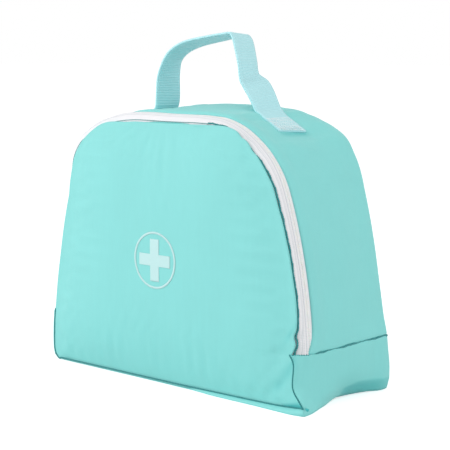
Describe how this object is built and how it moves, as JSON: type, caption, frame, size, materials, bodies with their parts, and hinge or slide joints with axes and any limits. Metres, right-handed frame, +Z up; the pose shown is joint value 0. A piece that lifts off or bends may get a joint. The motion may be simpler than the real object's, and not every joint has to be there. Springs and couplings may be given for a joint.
{
  "type": "toy dentist kit",
  "caption": "Soft dome-shaped toy dentist bag with zip-open front, flat webbing handle and white cross, holding toy instruments in elastic loops.",
  "frame": {"origin": "middle of the base's underside, on the surface the bag stands on", "axes": "+X to the right along the front, +Y from front to back, +Z up"},
  "size_m": [0.2491, 0.104, 0.2473],
  "materials": {
    "cloth": "turquoise plain-weave polyester, matt",
    "lining": "pale grey-blue coated lining cloth",
    "zip_tape": "white woven zip tape",
    "zip_coil": "white nylon coil",
    "metal": "nickel-plated zinc",
    "webbing": "pale cyan ribbed polyester webbing",
    "elastic": "white woven elastic",
    "pink_plastic": "moulded toy plastic",
    "yellow_plastic": "moulded toy plastic",
    "white_plastic": "moulded toy plastic",
    "mirror_foil": "mirrored acrylic disc"
  },
  "bodies": {
    "root": {"front_foot": "cloth", "front_foot_lining": "lining", "back_panel": "cloth", "back_lining": "lining", "gusset": "cloth", "gusset_lining": "lining", "base_band": "cloth", "base_lining": "lining", "zip_tape_rear": "zip_tape", "zip_coil_rear": "zip_coil", "handle_foot_left": "webbing", "handle_foot_right": "webbing", "elastic_loops": "elastic"},
    "flap": {"front_panel": "cloth", "front_lining": "lining", "zip_tape_front": "zip_tape", "zip_coil_front": "zip_coil"},
    "slider": {"zip_slider": "metal"},
    "pull": {"zip_pull": "metal"},
    "handle": {"handle_loop": "webbing"},
    "mirror": {"mirror_grip": "pink_plastic", "mirror_head": "pink_plastic", "mirror_glass": "mirror_foil"},
    "probe": {"probe_grip": "yellow_plastic", "probe_hook": "metal"},
    "forceps": {"forceps_left": "yellow_plastic", "forceps_rivet": "metal"},
    "forceps_half": {"forceps_right": "yellow_plastic"},
    "syringe": {"syringe_barrel": "white_plastic"},
    "plunger": {"syringe_plunger": "pink_plastic"}
  },
  "joints": [
    {"name": "flap_fold", "type": "hinge", "parent": "root", "child": "flap", "pos_m": [0, -0.05228, 0.038], "axis": [1, 0, 0], "range_deg": [0, 100]},
    {"name": "zip_travel", "type": "hinge", "parent": "root", "child": "slider", "pos_m": [0.25561, 0, 0.02099], "axis": [0, 1, 0], "range_deg": [0, 13.5]},
    {"name": "zip_pull_swing", "type": "hinge", "parent": "slider", "child": "pull", "pos_m": [-0.12392, -0.03641, 0.04838], "axis": [-0.1129, 0.9936, 0.0081], "range_deg": [0, 165]},
    {"name": "handle_swing", "type": "hinge", "parent": "root", "child": "handle", "pos_m": [0, 0.0095, 0.2053], "axis": [1, 0, 0], "range_deg": [-85, 85], "stiffness_Nm_per_rad": 0.006},
    {"name": "mirror_lift", "type": "slide", "parent": "root", "child": "mirror", "axis": [0, 0, 1], "range_m": [0, 0.045]},
    {"name": "probe_lift", "type": "slide", "parent": "root", "child": "probe", "axis": [0, 0, 1], "range_m": [0, 0.045]},
    {"name": "forceps_lift", "type": "slide", "parent": "root", "child": "forceps", "axis": [0, 0, 1], "range_m": [0, 0.045]},
    {"name": "forceps_pivot", "type": "hinge", "parent": "forceps", "child": "forceps_half", "pos_m": [0.048, 0.03925, 0.0392], "axis": [0, 1, 0], "range_deg": [0, 12]},
    {"name": "syringe_lift", "type": "slide", "parent": "root", "child": "syringe", "axis": [0, 0, 1], "range_m": [0, 0.045]},
    {"name": "plunger_slide", "type": "slide", "parent": "syringe", "child": "plunger", "axis": [0, 0, 1], "range_m": [-0.022, 0.024]}
  ]
}
